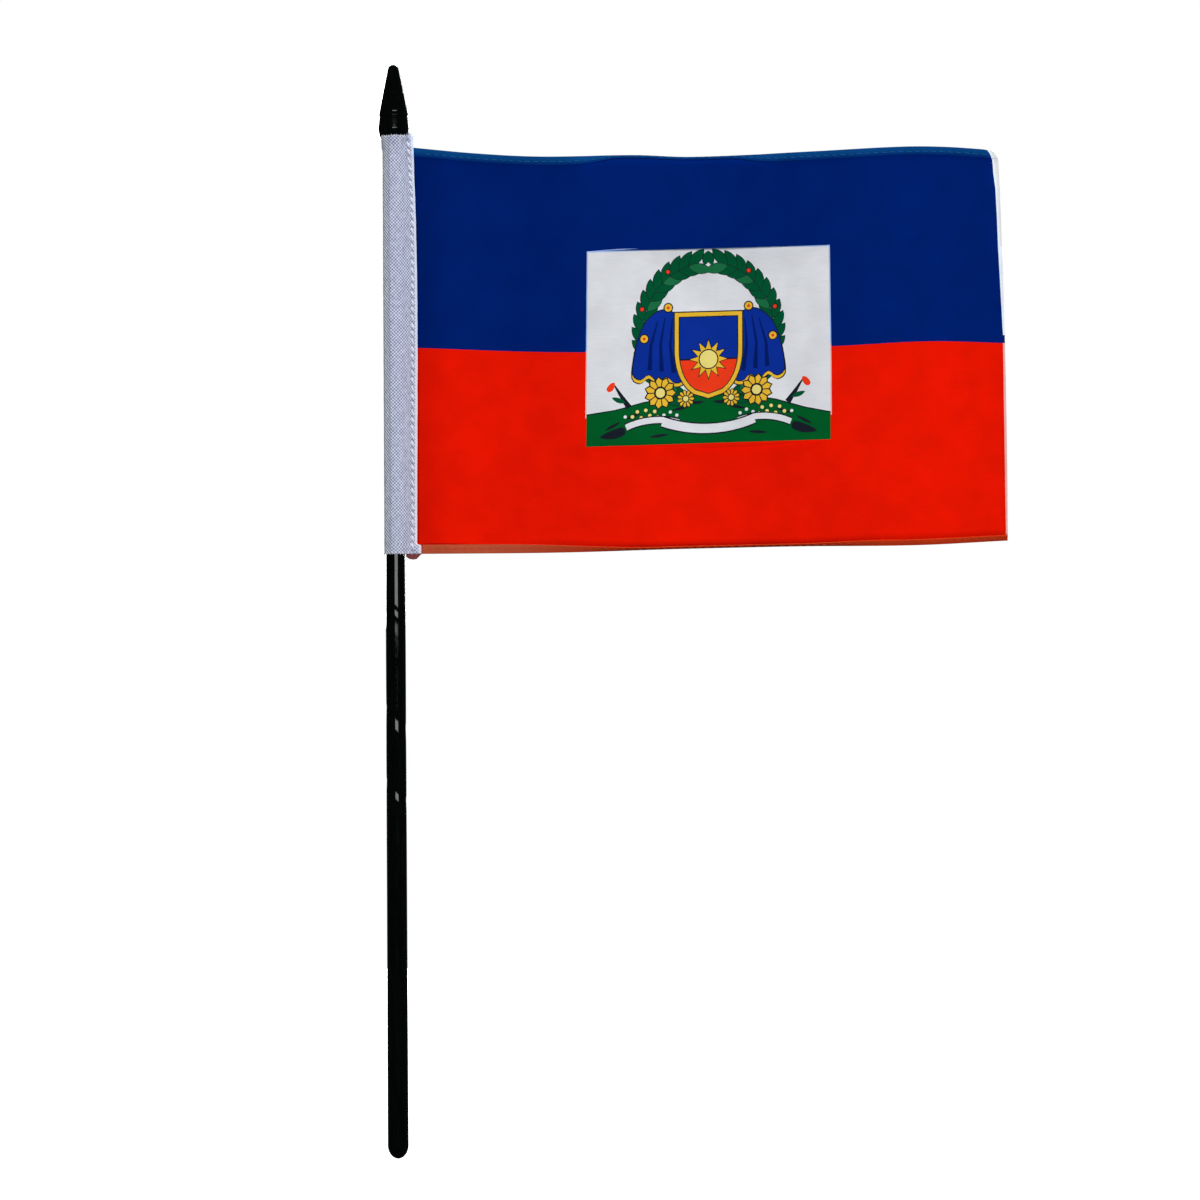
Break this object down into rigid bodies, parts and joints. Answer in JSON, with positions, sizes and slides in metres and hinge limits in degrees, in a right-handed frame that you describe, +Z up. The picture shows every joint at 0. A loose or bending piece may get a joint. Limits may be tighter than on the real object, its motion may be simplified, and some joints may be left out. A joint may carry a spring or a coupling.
{
  "type": "desk stick flag",
  "caption": "Small printed cloth flag in a stitched tape sleeve that slides and turns on a slim plastic staff with a pointed finial and a rounded foot.",
  "frame": {"origin": "tip of the staff's rounded foot, on the staff's axis", "axes": "+Z up the staff to the finial, +X towards the cloth's free edge (the fly), -Y out of the front of the cloth, the side it is read from"},
  "size_m": [0.1567, 0.0076, 0.2734],
  "materials": {
    "staff_plastic": "glossy black, slightly uneven from moulding",
    "sleeve_tape": "matt white coarse plain weave",
    "printed_cloth": null,
    "hem_cloth_red": "matt fine plain weave, printed red",
    "white_thread": "twisted sewing thread",
    "blue_thread": "twisted sewing thread",
    "red_thread": "twisted sewing thread"
  },
  "bodies": {
    "staff": {"staff": "staff_plastic", "finial": "staff_plastic"},
    "sleeve": {"sleeve_wrap": "sleeve_tape"},
    "hoist": {"sleeve_front_lap": "sleeve_tape", "sleeve_back_lap": "sleeve_tape", "cloth_hoist_margin": "printed_cloth", "hoist_needle_thread": "white_thread", "hoist_bobbin_thread": "white_thread"},
    "panel": {"cloth_panel": "printed_cloth", "cloth_top_hem": "printed_cloth", "cloth_bottom_hem": "hem_cloth_red", "top_hem_needle_thread": "blue_thread", "top_hem_bobbin_thread": "blue_thread", "bottom_hem_needle_thread": "red_thread", "bottom_hem_bobbin_thread": "red_thread"}
  },
  "joints": [
    {"name": "sleeve_slide", "type": "slide", "parent": "staff", "child": "sleeve", "axis": [0, 0, 1], "range_m": [-0.12, 0]},
    {"name": "flag_swivel", "type": "hinge", "parent": "sleeve", "child": "hoist", "pos_m": [0, 0, 0.2], "axis": [0, 0, 1], "continuous": true},
    {"name": "panel_fold", "type": "hinge", "parent": "hoist", "child": "panel", "pos_m": [0.007, 0, 0.2], "axis": [0, 0, 1], "range_deg": [-90, 90]}
  ]
}
